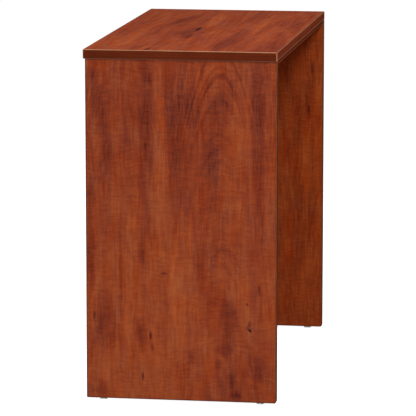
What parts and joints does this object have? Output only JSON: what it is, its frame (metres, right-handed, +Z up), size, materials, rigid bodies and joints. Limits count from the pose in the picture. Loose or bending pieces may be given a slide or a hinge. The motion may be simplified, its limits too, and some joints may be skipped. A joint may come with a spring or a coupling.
{
  "type": "standing desk",
  "caption": "Standing-height panel desk in cherry wood laminate: a flat top on slab end panels, tied by a set-back modesty panel, with cam-locked joints and screw-adjusted feet.",
  "frame": {"origin": "on the floor, below the middle of the desktop", "axes": "+X along the desk's length to its right end, +Y to its closed back, +Z up"},
  "size_m": [1.2, 0.585, 1.067],
  "materials": {
    "cherry_laminate": "satin laminate with cherry grain",
    "cherry_edge": "satin edge band with cherry grain",
    "zinc": "die-cast zinc",
    "plated_steel": "zinc-plated steel",
    "beech": "raw turned beech",
    "nylon": "moulded nylon"
  },
  "bodies": {
    "desk": {"desktop": "cherry_laminate", "left_end_panel": "cherry_laminate", "right_end_panel": "cherry_laminate", "modesty_panel": "cherry_laminate", "front_rail": "cherry_laminate", "desktop_front_band": "cherry_edge", "desktop_back_band": "cherry_edge", "desktop_left_band": "cherry_edge", "desktop_right_band": "cherry_edge", "left_panel_front_band": "cherry_edge", "left_panel_bottom_band": "cherry_edge", "left_panel_back_band": "cherry_edge", "right_panel_front_band": "cherry_edge", "right_panel_bottom_band": "cherry_edge", "right_panel_back_band": "cherry_edge", "modesty_bottom_band": "cherry_edge", "desktop_cam_bolts": "plated_steel", "modesty_cam_bolts": "plated_steel", "desktop_dowels": "beech", "modesty_dowels": "beech", "left_bracket": "plated_steel", "right_bracket": "plated_steel", "bracket_screws": "plated_steel", "foot_inserts": "plated_steel"},
    "left_front_desktop_cam": {"left_front_desktop_cam": "zinc"},
    "left_back_desktop_cam": {"left_back_desktop_cam": "zinc"},
    "left_lower_modesty_cam": {"left_lower_modesty_cam": "zinc"},
    "left_upper_modesty_cam": {"left_upper_modesty_cam": "zinc"},
    "right_front_desktop_cam": {"right_front_desktop_cam": "zinc"},
    "right_back_desktop_cam": {"right_back_desktop_cam": "zinc"},
    "right_lower_modesty_cam": {"right_lower_modesty_cam": "zinc"},
    "right_upper_modesty_cam": {"right_upper_modesty_cam": "zinc"},
    "left_front_foot_pad": {"left_front_foot_pad": "nylon"},
    "left_front_foot_stem": {"left_front_foot_stem": "plated_steel"},
    "left_back_foot_pad": {"left_back_foot_pad": "nylon"},
    "left_back_foot_stem": {"left_back_foot_stem": "plated_steel"},
    "right_front_foot_pad": {"right_front_foot_pad": "nylon"},
    "right_front_foot_stem": {"right_front_foot_stem": "plated_steel"},
    "right_back_foot_pad": {"right_back_foot_pad": "nylon"},
    "right_back_foot_stem": {"right_back_foot_stem": "plated_steel"}
  },
  "joints": [
    {"name": "left_front_desktop_cam_turn", "type": "hinge", "parent": "desk", "child": "left_front_desktop_cam", "pos_m": [-0.5845, -0.0995, 1.0044], "axis": [1, 0, 0], "range_deg": [0, 165]},
    {"name": "left_back_desktop_cam_turn", "type": "hinge", "parent": "desk", "child": "left_back_desktop_cam", "pos_m": [-0.5845, 0.0935, 1.0044], "axis": [1, 0, 0], "range_deg": [0, 165]},
    {"name": "left_lower_modesty_cam_turn", "type": "hinge", "parent": "desk", "child": "left_lower_modesty_cam", "pos_m": [-0.538, 0.2275, 0.53947], "axis": [0, -1, 0], "range_deg": [0, 165]},
    {"name": "left_upper_modesty_cam_turn", "type": "hinge", "parent": "desk", "child": "left_upper_modesty_cam", "pos_m": [-0.538, 0.2275, 0.78893], "axis": [0, -1, 0], "range_deg": [0, 165]},
    {"name": "right_front_desktop_cam_turn", "type": "hinge", "parent": "desk", "child": "right_front_desktop_cam", "pos_m": [0.5845, -0.0995, 1.0044], "axis": [-1, 0, 0], "range_deg": [0, 165]},
    {"name": "right_back_desktop_cam_turn", "type": "hinge", "parent": "desk", "child": "right_back_desktop_cam", "pos_m": [0.5845, 0.0935, 1.0044], "axis": [-1, 0, 0], "range_deg": [0, 165]},
    {"name": "right_lower_modesty_cam_turn", "type": "hinge", "parent": "desk", "child": "right_lower_modesty_cam", "pos_m": [0.538, 0.2275, 0.53947], "axis": [0, -1, 0], "range_deg": [0, 165]},
    {"name": "right_upper_modesty_cam_turn", "type": "hinge", "parent": "desk", "child": "right_upper_modesty_cam", "pos_m": [0.538, 0.2275, 0.78893], "axis": [0, -1, 0], "range_deg": [0, 165]},
    {"name": "left_front_foot_height", "type": "slide", "parent": "desk", "child": "left_front_foot_pad", "axis": [0, 0, -1], "range_m": [0, 0.0125]},
    {"name": "left_front_foot_turn", "type": "hinge", "parent": "left_front_foot_pad", "child": "left_front_foot_stem", "pos_m": [-0.5845, -0.2425, 0], "axis": [0, 0, -1], "range_deg": [0, 3600]},
    {"name": "left_back_foot_height", "type": "slide", "parent": "desk", "child": "left_back_foot_pad", "axis": [0, 0, -1], "range_m": [0, 0.0125]},
    {"name": "left_back_foot_turn", "type": "hinge", "parent": "left_back_foot_pad", "child": "left_back_foot_stem", "pos_m": [-0.5845, 0.2365, 0], "axis": [0, 0, -1], "range_deg": [0, 3600]},
    {"name": "right_front_foot_height", "type": "slide", "parent": "desk", "child": "right_front_foot_pad", "axis": [0, 0, -1], "range_m": [0, 0.0125]},
    {"name": "right_front_foot_turn", "type": "hinge", "parent": "right_front_foot_pad", "child": "right_front_foot_stem", "pos_m": [0.5845, -0.2425, 0], "axis": [0, 0, -1], "range_deg": [0, 3600]},
    {"name": "right_back_foot_height", "type": "slide", "parent": "desk", "child": "right_back_foot_pad", "axis": [0, 0, -1], "range_m": [0, 0.0125]},
    {"name": "right_back_foot_turn", "type": "hinge", "parent": "right_back_foot_pad", "child": "right_back_foot_stem", "pos_m": [0.5845, 0.2365, 0], "axis": [0, 0, -1], "range_deg": [0, 3600]}
  ],
  "couplings": [
    {"joint": "left_front_foot_turn", "follows": "left_front_foot_height", "rad_per_m": 5026.5},
    {"joint": "left_back_foot_turn", "follows": "left_back_foot_height", "rad_per_m": 5026.5},
    {"joint": "right_front_foot_turn", "follows": "right_front_foot_height", "rad_per_m": 5026.5},
    {"joint": "right_back_foot_turn", "follows": "right_back_foot_height", "rad_per_m": 5026.5}
  ]
}
